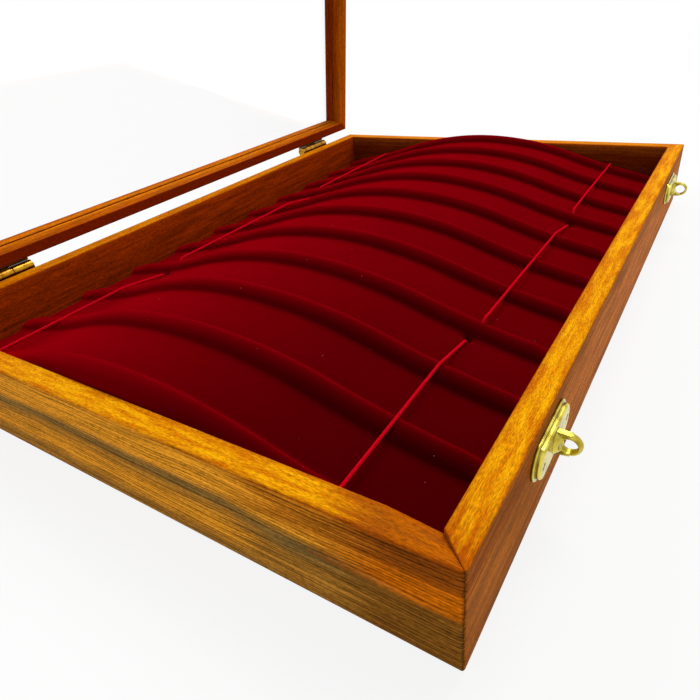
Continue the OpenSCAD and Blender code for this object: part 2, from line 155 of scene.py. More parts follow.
def grid_faces(rows, columns, first=0, wrap=False):
    """Quads of a grid of points numbered row by row; wrap joins the last column to the first."""
    row, column = np.meshgrid(np.arange(rows - 1), np.arange(columns - (0 if wrap else 1)), indexing="ij")
    following = (column + 1) % columns
    corners = [row * columns + column, row * columns + following,
               (row + 1) * columns + following, (row + 1) * columns + column]
    return first + np.stack(corners, axis=-1).reshape(-1, 4)


# Pad section

def dome_line(run):
    """Pad section at a run along it from the middle: y, z and slope; the slope grows evenly over the
    crown arc and shrinks evenly over the foot arc."""
    crown_run = CROWN_R * CROWN_TURN
    far = np.abs(run)
    on_crown = far <= crown_run
    slope = np.where(on_crown, far / CROWN_R, CROWN_TURN - (far - crown_run) / FOOT_R)
    y = np.where(on_crown, CROWN_R * np.sin(slope), FOOT_Y - FOOT_R * np.sin(slope))
    z = np.where(on_crown, PAD_CREST - CROWN_R + CROWN_R * np.cos(slope), FOOT_Z - FOOT_R * np.cos(slope))
    return np.sign(run) * y, z, np.sign(run) * slope


def above_pad(y, rise):
    """Height of the parallel to the pad's section that lies rise above it, at a given y."""
    if abs(y) < (CROWN_R + rise) * math.sin(CROWN_TURN):
        return PAD_CREST - CROWN_R + math.sqrt((CROWN_R + rise) ** 2 - y ** 2)
    return FOOT_Z - math.sqrt((FOOT_R - rise) ** 2 - (FOOT_Y - abs(y)) ** 2)


# Elastic cords

CORD_STEP = 0.22 * MM
CORD_SIDES = 20
CORD_EASE = 3 * MM
BRAID_ENDS = 4
BRAID_LAY = 0.6
BRAID_RELIEF = 0.09
TUCK_PAST = 0.3 * MM
TUCK_X = PAD_HALF_X + TUCK_PAST - CORD_D / 2 - CORD_GAP
TUCK_FOOT = 4 * MM
BEND_FALL = 2.2 * MM
BEND_OUT = 1.4 * MM
BEND_DIP = 0.5 * MM


def cord_line(cord, x):
    """The y at which a cord passes, given x: its straight line plus the stitching's stray."""
    return CORDS[cord].line + np.interp(x, STITCHES, CORDS[cord].strays)


def cord_route(cord):
    """The cord's line: up out of its tuck at the end wall, over the ribs, and into the tied ones and out."""
    over = RIB_H + CORD_D / 2 + CORD_GAP - CORDS[cord].pull
    crest = above_pad(CORDS[cord].line, over)
    rise = [(-TUCK_X, PAD_BOTTOM + TUCK_FOOT), (-TUCK_X, crest - BEND_FALL),
            (BEND_OUT - TUCK_X, crest - BEND_DIP)]
    run = []
    for k, x in enumerate(RIB_X):
        for away, height in (*CORD_IN, *CORD_OUT) if k in TIE_RIBS else ((0, over),):
            run.append((x + away, above_pad(cord_line(cord, x + away), min(height, over))))
    corners = np.array(rise + run + [(-x, z) for x, z in reversed(rise)])
    legs = np.hypot(*np.diff(corners, axis=0).T)
    measure = np.concatenate([[0], np.cumsum(legs)])
    even = np.linspace(0, measure[-1], int(measure[-1] / CORD_STEP))
    x, z = (np.interp(even, measure, corners[:, k]) for k in (0, 1))
    return np.stack([x, cord_line(cord, x), z], axis=1)


def elastic_cord(cord):
    """A tube along the cord's line; its radius rises and falls with the larger of two cosines that wind
    round it in opposite hands, which are the crossing ends of the braid."""
    route = cord_route(cord)
    ease = max(1, int(CORD_EASE / CORD_STEP / 2))
    window = np.ones(2 * ease + 1) / (2 * ease + 1)
    longer = np.pad(route, ((ease, ease), (0, 0)), mode="edge")
    smooth = np.stack([np.convolve(longer[:, k], window, mode="valid") for k in range(3)], axis=1)
    route[ease:-ease] = smooth[ease:-ease]
    forward = np.gradient(route, axis=0)
    forward /= np.linalg.norm(forward, axis=1, keepdims=True)
    side = np.tile([0.0, 1.0, 0.0], (len(route), 1))
    lift = np.cross(forward, side)
    run = np.concatenate([[0], np.cumsum(np.linalg.norm(np.diff(route, axis=0), axis=1))])
    turn = np.linspace(0, 2 * math.pi, CORD_SIDES, endpoint=False)
    wind = BRAID_LAY * run[:, None] / (CORD_D / 2)
    crossing = np.maximum(np.cos(BRAID_ENDS * (turn + wind)), np.cos(BRAID_ENDS * (turn - wind)))
    radius = CORD_D / 2 * (1 - BRAID_RELIEF / 2 + BRAID_RELIEF / 2 * crossing)
    points = (route[:, None, :] + (radius * np.cos(turn))[..., None] * side[:, None, :]
              + (radius * np.sin(turn))[..., None] * lift[:, None, :])
    uv = np.stack(np.broadcast_arrays(run[:, None] / MM, turn * CORD_D / 2 / MM), axis=-1).reshape(-1, 2)
    rings = len(route)
    tube = grid_faces(rings, CORD_SIDES, wrap=True)
    ends = np.vstack([route[:1], route[-1:]])
    count = rings * CORD_SIDES
    rim = np.arange(CORD_SIDES)
    following = (rim + 1) % CORD_SIDES
    start_cap = np.stack([np.full(CORD_SIDES, count), following, rim], axis=1)
    tail = count - CORD_SIDES
    end_cap = np.stack([np.full(CORD_SIDES, count + 1), tail + rim, tail + following], axis=1)
    triangles = np.vstack([tube[:, [0, 1, 2]], tube[:, [0, 2, 3]], start_cap, end_cap])
    points = np.vstack([points.reshape(-1, 3), ends])
    uv = np.vstack([uv, uv[[0, count - 1]]])
    return mesh_piece("braided_" + cord, points, triangles, uv)


# Velvet pad

NAP = 0.3 * MM
FILLET = 4.0 * MM
FILLET_FALL = 1.2
EDGE_ROLL = 2.0 * MM
EDGE_STEPS = 6
WALL_GAP = 0.05 * MM
RIB_SPREAD = (-12 * MM, 8.5 * MM)
RIB_STEPS = 39
CHANNEL_STEPS = 9
ROW_STEP = 2.4 * MM
GROOVE_STEP = 0.5 * MM
GROOVE_REACH = 4 * MM
GROOVE_WIDTH = 1.6 * MM
GROOVE_DEPTH = 0.35 * MM
HOLE_WIDTH = 1.8 * MM
HOLE_DEPTH = 3 * MM
SWAY = 0.12 * MM
SWAY_X, SWAY_Y, SWAY_SKEW = 31 * MM, 23 * MM, 90 * MM
SWAY_BEND, SWAY_TURN = 47 * MM, 2.1
COLUMN_CLEAR = 0.1 * MM
END_RUN = 16 * MM
END_SHARE = 0.65


def cord_holes(x, y):
    """Bell-shaped spots, one at each place where a cord goes into a tied rib or comes out of it."""
    spots = np.zeros(x.shape)
    for cord in CORDS:
        for k in TIE_RIBS:
            for at in RIB_X[k] + np.array(HOLE_AT):
                spots += np.exp(-((x - at) / HOLE_WIDTH) ** 2 - ((y - cord_line(cord, at)) / HOLE_WIDTH) ** 2)
    return spots


def velvet_rise(x, y):
    """Height of the cloth over the pad's core: each rib's half-round, run into the channels by a smooth
    maximum and lower at the walls, plus the nap, less the cords' grooves over the free ribs and the holes
    where they go into tied ones."""
    from_ribs = np.abs(x[None] - np.array(RIB_X)[:, None, None])
    away = np.min(from_ribs, axis=0)
    tied = np.isin(np.argmin(from_ribs, axis=0), TIE_RIBS)
    round_top = np.sqrt(np.maximum(RIB_R ** 2 - away ** 2, 0)) - (RIB_R - RIB_H)
    rib = np.where(away < RIB_R, round_top, RIB_H - RIB_R - FILLET_FALL * (away - RIB_R))
    ease = np.clip((PAD_HALF_Y - np.abs(y)) / END_RUN, 0, 1)
    rib *= np.where(rib > 0, END_SHARE + (1 - END_SHARE) * ease ** 2 * (3 - 2 * ease), 1)
    lap = np.maximum(FILLET - np.abs(rib), 0) / FILLET
    rise = np.maximum(rib, 0) + lap ** 2 * FILLET / 4 + NAP
    for cord in CORDS:
        beside = np.exp(-((y - cord_line(cord, x)) / GROOVE_WIDTH) ** 2)
        depth = GROOVE_DEPTH + CORDS[cord].pull
        rise -= depth * beside * np.where(tied, 0, np.clip(rib / RIB_H, 0, 1))
    return rise - HOLE_DEPTH * cord_holes(x, y)


def cloth_sway(x, y):
    """Slight unevenness of cloth laid by hand: two sine waves multiplied, the first bent by a third."""
    bend = SWAY_TURN * np.sin(y / SWAY_BEND)
    return SWAY * np.sin(x / SWAY_X + bend) * np.sin(y / SWAY_Y + x / SWAY_SKEW)


def velvet_pad():
    """One skin over the dome and its ribs: points of the dome's section moved along its normal by the
    cloth's rise, rolled over at the walls, and closed by sides and an underside."""
    offsets = np.linspace(*RIB_SPREAD, RIB_STEPS)
    columns = [x + offsets for x in RIB_X]
    for before, after in zip(RIB_X[:-1], RIB_X[1:]):
        columns.append(np.linspace(before + RIB_SPREAD[1], after + RIB_SPREAD[0], CHANNEL_STEPS + 2)[1:-1])
    half_x = PAD_HALF_X + WALL_GAP
    xs = np.concatenate(columns)
    xs = np.unique(np.concatenate([xs[np.abs(xs) < half_x - COLUMN_CLEAR], [-half_x, half_x]]))
    half_run = CROWN_R * CROWN_TURN + FOOT_R * (CROWN_TURN - FOOT_SLOPE)
    cord_run = CROWN_R * CROWN_TURN + FOOT_R * (CROWN_TURN - math.asin((FOOT_Y - CORD_Y) / FOOT_R))
    near_cord = np.arange(-GROOVE_REACH, GROOVE_REACH + GROOVE_STEP / 2, GROOVE_STEP)
    plain = np.linspace(-half_run, half_run, int(2 * half_run / ROW_STEP))
    plain = plain[np.abs(np.abs(plain) - cord_run) > GROOVE_REACH + GROOVE_STEP]
    edge = half_run - EDGE_ROLL * (1 - np.cos(np.linspace(0, math.pi / 2, EDGE_STEPS)[1:-1]))
    runs = np.unique(np.concatenate([plain, cord_run + near_cord, -cord_run + near_cord, edge, -edge]))
    x, run = np.meshgrid(xs, runs, indexing="ij")
    y, z, slope = dome_line(run)
    rise = velvet_rise(x, y) + cloth_sway(x, y)
    for far, half in ((np.abs(x), half_x), (np.abs(run), half_run)):
        inside = np.clip((half - far) / EDGE_ROLL, 0, 1)
        rise -= EDGE_ROLL * (1 - np.sqrt(1 - (1 - inside) ** 2))
    top = np.stack([x, y + np.sin(slope) * rise, z + np.cos(slope) * rise], axis=-1)
    top[..., 1] = np.clip(top[..., 1], -PAD_HALF_Y - WALL_GAP, PAD_HALF_Y + WALL_GAP)
    rows, cols = x.shape
    uv = np.stack([x / MM, run / MM], axis=-1).reshape(-1, 2)
    ids = np.arange(rows * cols).reshape(rows, cols)
    rim = np.concatenate([ids[:-1, 0], ids[-1, :-1], ids[:0:-1, -1], ids[0, :0:-1]])
    foot = top.reshape(-1, 3)[rim].copy()
    foot[:, 2] = PAD_BOTTOM
    count = rows * cols
    below = count + np.arange(len(rim))
    side = np.stack([rim, below, np.roll(below, -1), np.roll(rim, -1)], axis=1)
    middle = count + len(rim)
    under = np.stack([below, np.full(len(rim), middle), np.roll(below, -1)], axis=1)
    quads = grid_faces(rows, cols)
    triangles = np.vstack([quads[:, [0, 1, 2]], quads[:, [0, 2, 3]],
                           side[:, [0, 1, 2]], side[:, [0, 2, 3]], under])
    points = np.vstack([top.reshape(-1, 3), foot, [[0, 0, PAD_BOTTOM]]])
    uv = np.vstack([uv, uv[rim], [[0, 0]]])
    skin = mesh_piece("velvet_skin", points, triangles, uv)
    holes = np.concatenate([cord_holes(x, y).ravel(), np.zeros(len(rim) + 1)])
    skin.data.attributes.new("cord_hole", "FLOAT", "POINT").data.foreach_set("value", holes)
    return skin


# Materials

def linear(code):
    """An sRGB hex colour as linear RGBA."""
    part = np.array([int(code[k:k + 2], 16) for k in (1, 3, 5)]) / 255
    value = np.where(part <= 0.04045, part / 12.92, ((part + 0.055) / 1.055) ** 2.4)
    return (*value.tolist(), 1.0)


def add(tree, kind, inputs=None, out=0, stops=None, **settings):
    """Adds a shader node with its settings, input values or links, and ramp stops; returns its output."""
    made = tree.nodes.new("ShaderNode" + kind)
    for name, value in settings.items():
        setattr(made, name, value)
    for key, value in (inputs or {}).items():
        if isinstance(value, bpy.types.NodeSocket):
            tree.links.new(value, made.inputs[key])
        else:
            made.inputs[key].default_value = value
    for k, (place, colour) in enumerate(stops or []):
        ramp = made.color_ramp.elements
        if k >= len(ramp):
            ramp.new(place)
        ramp[k].position = place
        ramp[k].color = linear(colour)
    return made.outputs[out] if len(made.outputs) else made


def new_material(name):
    """An empty node material."""
    material = bpy.data.materials.new(name)
    material.use_nodes = True
    material.node_tree.nodes.clear()
    return material, material.node_tree


# Ash board, planed, stained amber and oiled: the sawn face shows dark porous latewood lines, each ring a
# little lighter or darker than the next, on bands of gold, brown and grey that follow the growth rings. The
# narrow edge that shows on top is a bright mottled gold with short pores. The stain gathers along the edges.
BOARD_PATTERNS = {
    # name: length along the grain and width across it in millimetres, and noise detail. Real pores (dash,
    # speck) and fibres are thinner, too fine to show, so these are drawn coarser
    "wander": (90, 22, 2),
    "streak": (26, 2.0, 3),
    "strength": (45, 6, 2),
    "dash": (3.2, 0.45, 2),
    "fibre": (1.8, 0.35, 2),
    "cloud": (26, 4, 3),
    "mottle": (14, 1.6, 3),
    "speck": (4.5, 0.42, 2),
}
# Growth rings, with lengths in millimetres: their spacing, over what span it varies and by how many rings,
# their slope through the board, and how far they wander up and down it
RING_SPACING = 1.4
YEARS_SPAN, YEARS_DRIFT = 4.5, 2.0
RING_SLANT = 0.06
RING_WANDER = 4.0
# How far one zone of the stain runs into the next, and how wide and how strong the stain gathers at the inner
# and the outer top edge, down the mitres and along the foot
ZONE_BLUR = 24.0
INNER_RUN, OUTER_RUN, MITRE_RUN, FOOT_RUN = (3.0, 0.6), (2.0, 0.45), (1.3, 0.85), (1.2, 0.6)
WOOD_ARRIS = 0.7 * MM
# How a board lies: its turn, then in millimetres its half length, its outer and inner faces' distances from
# the middle of the case, and its foot and top
Lay = namedtuple("Lay", "turn length outer inner low high")


def board_grain(tree, turn, shift):
    """A board's own axes and the noises stretched along its grain. Returns the distances along it, through
    it and up it in millimetres, the upward part of its surface's direction, and the noises by name."""
    hinge_line = Vector(HINGE_LINE)
    unopened = (Matrix.Rotation(turn[2], 3, "Z") @ hinge_line - Euler(turn).to_matrix() @ hinge_line) / MM
    place = add(tree, "TexCoord", out="Object")
    board = add(tree, "Mapping", {"Vector": place, "Rotation": turn, "Scale": (1 / MM, 1 / MM, 1 / MM),
                                  "Location": unopened})
    facing = add(tree, "Mapping", {"Vector": add(tree, "TexCoord", out="Normal"), "Rotation": turn})
    moved = add(tree, "VectorMath", {0: board, 1: shift}, operation="ADD")
    pattern = {}
    for key, (grain, across, detail) in BOARD_PATTERNS.items():
        spread = add(tree, "VectorMath", {0: moved, 1: (1 / grain, 1 / across, 1 / across)},
                     operation="MULTIPLY")
        pattern[key] = add(tree, "TexNoise", {"Vector": spread, "Scale": 1.0, "Detail": detail})
    upward = add(tree, "SeparateXYZ", {0: facing}).node.outputs[2]
    return *add(tree, "SeparateXYZ", {0: board}).node.outputs, upward, pattern


def stain_bands(tree, zones, lay, along, level, pattern):
    """Bands of colour up the board, and the two tones of its top edge, for each zone along it. A zone runs
    softly and unevenly into the next."""
    share = add(tree, "MapRange", {"Value": level, "From Min": lay.low, "From Max": lay.high})
    drift = add(tree, "MapRange", {"Value": pattern["streak"], "To Min": -ZONE_BLUR, "To Max": ZONE_BLUR})
    drift = add(tree, "Math", {0: along, 1: drift}, operation="ADD")
    mottle = add(tree, "MapRange", {"Value": pattern["mottle"], "From Min": 0.38, "From Max": 0.66,
                                    "To Max": 0.75})
    cloud = add(tree, "MapRange", {"Value": pattern["cloud"], "From Min": 0.44, "From Max": 0.62,
                                   "To Max": 0.8})
    blotch = add(tree, "Math", {0: mottle, 1: cloud}, operation="MAXIMUM")
    face = gold = None
    for start, end, bands, rim, rim_dark in zones:
        stops = [((z - lay.low) / (lay.high - lay.low), code) for z, code in bands]
        zone_face = add(tree, "ValToRGB", {0: share}, stops=stops)
        zone_gold = add(tree, "Mix", {0: blotch, 6: linear(rim), 7: linear(rim_dark)}, out=2,
                        data_type="RGBA")
        if face is None:
            face, gold = zone_face, zone_gold
            continue
        reach = add(tree, "MapRange", {"Value": drift, "From Min": start, "From Max": end},
                    interpolation_type="SMOOTHSTEP")
        face = add(tree, "Mix", {0: reach, 6: face, 7: zone_face}, out=2, data_type="RGBA")
        gold = add(tree, "Mix", {0: reach, 6: gold, 7: zone_gold}, out=2, data_type="RGBA")
    return face, gold


def ring_marks(tree, thick, level, pattern, line_depth):
    """Growth rings of uneven width. Returns each ring's own tone, and the dark marks of its latewood line,
    which the pores break into dashes."""
    slanted = add(tree, "Math", {0: thick, 1: RING_SLANT, 2: level}, operation="MULTIPLY_ADD")
    years = add(tree, "TexNoise", {"W": slanted, "Scale": 1 / YEARS_SPAN, "Detail": 1.0},
                noise_dimensions="1D")
    count = add(tree, "Math", {0: slanted, 1: RING_SPACING}, operation="DIVIDE")
    count = add(tree, "Math", {0: years, 1: YEARS_DRIFT, 2: count}, operation="MULTIPLY_ADD")
    number = add(tree, "Math", {0: count}, operation="FLOOR")
    tone = add(tree, "TexWhiteNoise", {"W": number}, noise_dimensions="1D")
    tone = add(tree, "MapRange", {"Value": tone, "To Min": 0.86, "To Max": 1.16})
    streak = add(tree, "MapRange", {"Value": pattern["streak"], "From Min": 0.35, "From Max": 0.65,
                                    "To Min": 0.78, "To Max": 1.3})
    tone = add(tree, "Math", {0: tone, 1: streak}, operation="MULTIPLY")
    part = add(tree, "Math", {0: count}, operation="FRACT")
    latewood = add(tree, "ValToRGB", {0: part}, stops=[
        (0.0, "#101010"), (0.1, "#000000"), (0.58, "#000000"),
        (0.7, "#FFFFFF"), (0.86, "#FFFFFF"), (1.0, "#101010")])
    strength = add(tree, "MapRange", {"Value": pattern["strength"], "From Min": 0.35, "From Max": 0.6,
                                      "To Min": 0.6 * line_depth, "To Max": line_depth})
    dashes = add(tree, "MapRange", {"Value": pattern["dash"], "From Min": 0.35, "From Max": 0.6,
                                    "To Min": 0.45, "To Max": 1.0})
    lines = add(tree, "Math", {0: latewood, 1: strength}, operation="MULTIPLY")
    lines = add(tree, "Math", {0: lines, 1: dashes}, operation="MULTIPLY")
    pores = add(tree, "MapRange", {"Value": pattern["dash"], "From Min": 0.6, "From Max": 0.72,
                                   "To Max": 0.6 * line_depth})
    return tone, add(tree, "Math", {0: lines, 1: pores}, operation="MAXIMUM")


def gathered_stain(tree, colour, lay, along, thick, height, pattern, edge):
    """Stain that gathers along the long top edges, and dark down the mitred corners and at the foot: each
    runs out raggedly with the larger of the distances to the two faces that meet there."""
    from_middle = add(tree, "Math", {0: thick}, operation="ABSOLUTE")
    from_centre = add(tree, "Math", {0: along}, operation="ABSOLUTE")
    out_left = add(tree, "Math", {0: lay.outer, 1: from_middle}, operation="SUBTRACT")
    end_left = add(tree, "Math", {0: lay.length, 1: from_centre}, operation="SUBTRACT")
    in_left = add(tree, "Math", {0: lay.outer - lay.inner, 1: out_left}, operation="SUBTRACT")
    up_left = add(tree, "Math", {0: lay.high, 1: height}, operation="SUBTRACT")
    down_left = add(tree, "Math", {0: height, 1: lay.low}, operation="SUBTRACT")
    for first, second, (width, depth), code in (
            (in_left, up_left, INNER_RUN, edge), (out_left, up_left, OUTER_RUN, edge),
            (out_left, end_left, MITRE_RUN, CORNER_STAIN), (out_left, down_left, FOOT_RUN, CORNER_STAIN)):
        off = add(tree, "Math", {0: first, 1: second}, operation="MAXIMUM")
        ragged = add(tree, "Math", {0: pattern["mottle"], 1: -width, 2: off}, operation="MULTIPLY_ADD")
        stain = add(tree, "MapRange", {"Value": ragged, "From Min": -0.5 * width, "From Max": 0.5 * width,
                                       "To Min": depth, "To Max": 0.0}, interpolation_type="SMOOTHSTEP")
        colour = add(tree, "Mix", {0: stain, 6: colour, 7: linear(code)}, out=2, data_type="RGBA")
    return colour


def stained_ash(name, lay, shift, zones, line, edge, under, line_depth):
    """Stained ash for one board. The lay turns the board so that its length, thickness and height are the
    pattern's axes, and the shift picks its figure. The bands follow the grain's wander, the top edge has
    rows of short pores, and the underside takes the stain dark."""
    material, tree = new_material(name)
    along, thick, height, upward, pattern = board_grain(tree, lay.turn, shift)
    on_top = add(tree, "MapRange", {"Value": upward, "From Min": 0.55, "From Max": 0.9})
    below = add(tree, "MapRange", {"Value": upward, "From Min": -0.55, "From Max": -0.9})
    swing = add(tree, "MapRange", {"Value": pattern["wander"], "To Min": -RING_WANDER, "To Max": RING_WANDER})
    level = add(tree, "Math", {0: height, 1: swing}, operation="ADD")
    face, gold = stain_bands(tree, zones, lay, along, level, pattern)
    tone, marks = ring_marks(tree, thick, level, pattern, line_depth)
    face = add(tree, "VectorMath", {0: face, "Scale": tone}, operation="SCALE")
    face = add(tree, "Mix", {0: marks, 6: face, 7: linear(line)}, out=2, data_type="RGBA")
    speck = add(tree, "MapRange", {"Value": pattern["speck"], "From Min": 0.52, "From Max": 0.68,
                                   "To Max": 0.42})
    gold = add(tree, "Mix", {0: speck, 6: gold, 7: linear(edge)}, out=2, data_type="RGBA")
    colour = add(tree, "Mix", {0: on_top, 6: face, 7: gold}, out=2, data_type="RGBA")
    colour = add(tree, "Mix", {0: below, 6: colour, 7: linear(under)}, out=2, data_type="RGBA")
    colour = gathered_stain(tree, colour, lay, along, thick, height, pattern, edge)
    fibre = add(tree, "MapRange", {"Value": pattern["fibre"], "From Min": 0.3, "From Max": 0.7,
                                   "To Min": 0.62, "To Max": 1.4})
    colour = add(tree, "VectorMath", {0: colour, "Scale": fibre}, operation="SCALE")
    rough = add(tree, "MapRange", {"Value": pattern["fibre"], "To Min": 0.42, "To Max": 0.62})
    relief = add(tree, "Math", {0: marks, 1: speck}, operation="ADD")
    arris = add(tree, "Bevel", {"Radius": WOOD_ARRIS}, samples=6)
    bump = add(tree, "Bump", {"Height": relief, "Strength": 0.35, "Distance": 0.12 * MM, "Normal": arris},
               invert=True)
    shader = add(tree, "BsdfPrincipled", {"Base Color": colour, "Roughness": rough, "Normal": bump,
                                          "Specular IOR Level": 0.005})
    add(tree, "OutputMaterial", {"Surface": shader})
    return material


# Velvet: its pile, brushed patches and the cells that hold a speck of lint each, whose size is a share of the
# cell. Real tufts are about half as wide, too fine to show, so the pile is drawn coarser
PILE = 0.5 * MM
BRUSHED_PATCH = 38 * MM
LINT_CELL = 6.8 * MM
LINT_SOLID, LINT_EDGE = 0.011, 0.028
# Painted shade on the velvet: the point it is darkened towards, and between which distances this runs out
PAINTED_SHADE_CORNER = (-200 * MM, -130 * MM, 25 * MM)
PAINTED_SHADE_NEAR, PAINTED_SHADE_FAR = 30 * MM, 150 * MM


def velvet():
    """Cut-pile velvet, glued over the foam: short upright fibres, dark when looked into and light at a
    grazing angle, brushed into soft patches, with a few specks of lint. Painted shade darkens it towards the
    near front corner and in the holes where the cords go into the ribs."""
    material, tree = new_material("crimson_cut_pile_velvet")
    place = add(tree, "TexCoord", out="Object")
    pile = add(tree, "TexNoise", {"Vector": place, "Scale": 1 / PILE, "Detail": 2.0})
    brushed = add(tree, "TexNoise", {"Vector": place, "Scale": 1 / BRUSHED_PATCH, "Detail": 3.0})
    lay = add(tree, "MapRange", {"Value": brushed, "From Min": 0.35, "From Max": 0.65})
    tone = add(tree, "Mix", {0: lay, 6: linear("#320001"), 7: linear("#3C0002")}, out=2, data_type="RGBA")
    # Painted shade: the velvet darkened towards the near front corner
    apart = add(tree, "VectorMath", {0: place, 1: PAINTED_SHADE_CORNER}, out="Value", operation="DISTANCE")
    painted_shade = add(tree, "MapRange", {"Value": apart, "From Min": PAINTED_SHADE_NEAR, "From Max": PAINTED_SHADE_FAR,
                                  "To Min": 0.75, "To Max": 0.0}, interpolation_type="SMOOTHSTEP")
    tone = add(tree, "Mix", {0: painted_shade, 6: tone, 7: linear("#120000")}, out=2, data_type="RGBA")
    tone = add(tree, "Mix", {0: 0.35, 6: tone, 7: pile}, out=2, data_type="RGBA", blend_type="SOFT_LIGHT")
    hole = add(tree, "Attribute", out="Fac", attribute_name="cord_hole")
    # Painted shade: the holes where the cords go in, darkened almost to black
    shade = add(tree, "MapRange", {"Value": hole, "From Min": 0.05, "From Max": 0.45})
    tone = add(tree, "Mix", {0: shade, 6: tone, 7: linear("#040000")}, out=2, data_type="RGBA")
    cell = add(tree, "TexVoronoi", {"Vector": place, "Scale": 1 / LINT_CELL}, out="Distance")
    lint = add(tree, "MapRange", {"Value": cell, "From Min": LINT_SOLID, "From Max": LINT_EDGE,
                                  "To Min": 0.6, "To Max": 0.0})
    tone = add(tree, "Mix", {0: lint, 6: tone, 7: linear("#D8B8B0")}, out=2, data_type="RGBA")
    bump = add(tree, "Bump", {"Height": pile, "Strength": 0.35, "Distance": 0.2 * MM})
    shader = add(tree, "BsdfPrincipled", {
        "Base Color": tone, "Roughness": 0.95, "Normal": bump, "Specular IOR Level": 0.0,
        "Sheen Weight": 0.6, "Sheen Roughness": 0.65, "Sheen Tint": linear("#FF001E")})
    add(tree, "OutputMaterial", {"Surface": shader})
    return material


# Width of the yarns' lighter and darker marks in millimetres, drawn coarser than real yarn, which is too fine
# to show
YARN_MARK = 0.625


def braided_elastic():
    """Rubber core in a braided polyester cover: two crossing sets of ends in slightly uneven bright reds."""
    material, tree = new_material("red_braided_elastic")
    run = add(tree, "UVMap", uv_map="surface")
    yarn = add(tree, "TexNoise", {"Vector": run, "Scale": 1 / YARN_MARK, "Detail": 2.0})
    tone = add(tree, "ValToRGB", {0: yarn}, stops=[(0.3, "#B80412"), (0.7, "#E60A26")])
    bump = add(tree, "Bump", {"Height": yarn, "Strength": 0.2, "Distance": 0.1 * MM})
    shader = add(tree, "BsdfPrincipled", {"Base Color": tone, "Roughness": 0.6, "Normal": bump,
                                          "Specular IOR Level": 0.0})
    add(tree, "OutputMaterial", {"Surface": shader})
    return material


# Brass: patches of its film, how far the painted shade reaches out of a recess, and its softened edges. The
# # scratches are the film's pattern squeezed across, drawn coarser than real ones, which are too fine to show
FILM_PATCH = 5 * MM
RECESS_SHADE_REACH = 3.2 * MM
BRASS_ARRIS = 0.35 * MM
SCRATCH_SQUEEZE, SCRATCH_TURN = (1, 1, 14), (0.4, 0.3, 0.6)


def brass(name, dull, bright):
    """Stamped brass, tumbled and lacquered: two tones of yellow with softly broken edges, fine scratches and
    a slightly duller film, with painted shade that darkens the recesses to brown."""
    material, tree = new_material(name)
    place = add(tree, "TexCoord", out="Object")
    film = add(tree, "TexNoise", {"Vector": place, "Scale": 1 / FILM_PATCH, "Detail": 4.0})
    squeezed = add(tree, "Mapping", {"Vector": place, "Scale": SCRATCH_SQUEEZE, "Rotation": SCRATCH_TURN})
    scratch = add(tree, "TexNoise", {"Vector": squeezed, "Scale": 1 / FILM_PATCH, "Detail": 3.0})
    tone = add(tree, "ValToRGB", {0: film}, stops=[(0.3, dull), (0.6, bright)])
    # Painted shade: recesses darkened to brown by how closed in they are
    hollow = add(tree, "AmbientOcclusion", {"Distance": RECESS_SHADE_REACH}, out="AO", samples=8)
    unshaded = add(tree, "MapRange", {"Value": hollow, "From Min": 0.3, "From Max": 0.92})
    tone = add(tree, "Mix", {0: unshaded, 6: linear("#3A2C02"), 7: tone}, out=2, data_type="RGBA")
    rough = add(tree, "MapRange", {"Value": film, "From Min": 0.3, "From Max": 0.7,
                                   "To Min": 0.14, "To Max": 0.28})
    arris = add(tree, "Bevel", {"Radius": BRASS_ARRIS}, samples=6)
    bump = add(tree, "Bump", {"Height": scratch, "Strength": 0.12, "Distance": 0.05 * MM, "Normal": arris})
    shader = add(tree, "BsdfPrincipled", {"Base Color": tone, "Metallic": 1.0, "Roughness": rough,
                                          "Normal": bump})
    add(tree, "OutputMaterial", {"Surface": shader})
    return material


# Wiping marks on the glass, and the plywood's figure along the grain and across it
WIPE_MARK = 60 * MM
PLY_FIGURE = (160 * MM, 7 * MM, 7 * MM)


def float_glass():
    """Clear float glass, cut, washed and bloomed: faint reflections and a trace of wiping marks. Its index
    and specular level are below plain glass, to keep the reflections that faint."""
    material, tree = new_material("clear_float_glass")
    place = add(tree, "TexCoord", out="Object")
    wiped = add(tree, "TexNoise", {"Vector": place, "Scale": 1 / WIPE_MARK, "Detail": 4.0})
    rough = add(tree, "MapRange", {"Value": wiped, "From Min": 0.5, "From Max": 0.8,
                                   "To Min": 0.0, "To Max": 0.004})
    shader = add(tree, "BsdfPrincipled", {"Base Color": linear("#FFFFFF"), "Roughness": rough, "IOR": 1.3,
                                          "Transmission Weight": 1.0, "Specular IOR Level": 0.05})
    add(tree, "OutputMaterial", {"Surface": shader})
    return material


def plywood():
    """Birch plywood, sanded and stained: a flat pale brown sheet with faint broad figure."""
    material, tree = new_material("stained_birch_plywood")
    place = add(tree, "TexCoord", out="Object")
    stretch = add(tree, "Mapping", {"Vector": place, "Scale": [1 / size for size in PLY_FIGURE]})
    figure = add(tree, "TexNoise", {"Vector": stretch, "Scale": 1.0, "Detail": 5.0, "Distortion": 0.6})
    tone = add(tree, "ValToRGB", {0: figure}, stops=[(0.3, "#8A5A2A"), (0.55, "#B07C42"), (0.75, "#9A6834")])
    bump = add(tree, "Bump", {"Height": figure, "Strength": 0.15, "Distance": 0.1 * MM})
    shader = add(tree, "BsdfPrincipled", {"Base Color": tone, "Roughness": 0.6, "Normal": bump})
    add(tree, "OutputMaterial", {"Surface": shader})
    return material


# Floor, light and world

FLOOR_HALF = 4.0
FLOOR_DROP = 0.1 * MM
PAPER_CLOUD = 1 / 3
# How far from the case its shadow shows, and the share of plain white that lightens it close by
SHADOW_REACH = 110 * MM
SHADOW_WHITE = 0.86
LAMP_AT = (0.64, -0.06, 1.13)
LAMP_WIDTH = 0.5
LAMP_POWER = 8.8
WORLD_GLOW = 0.58


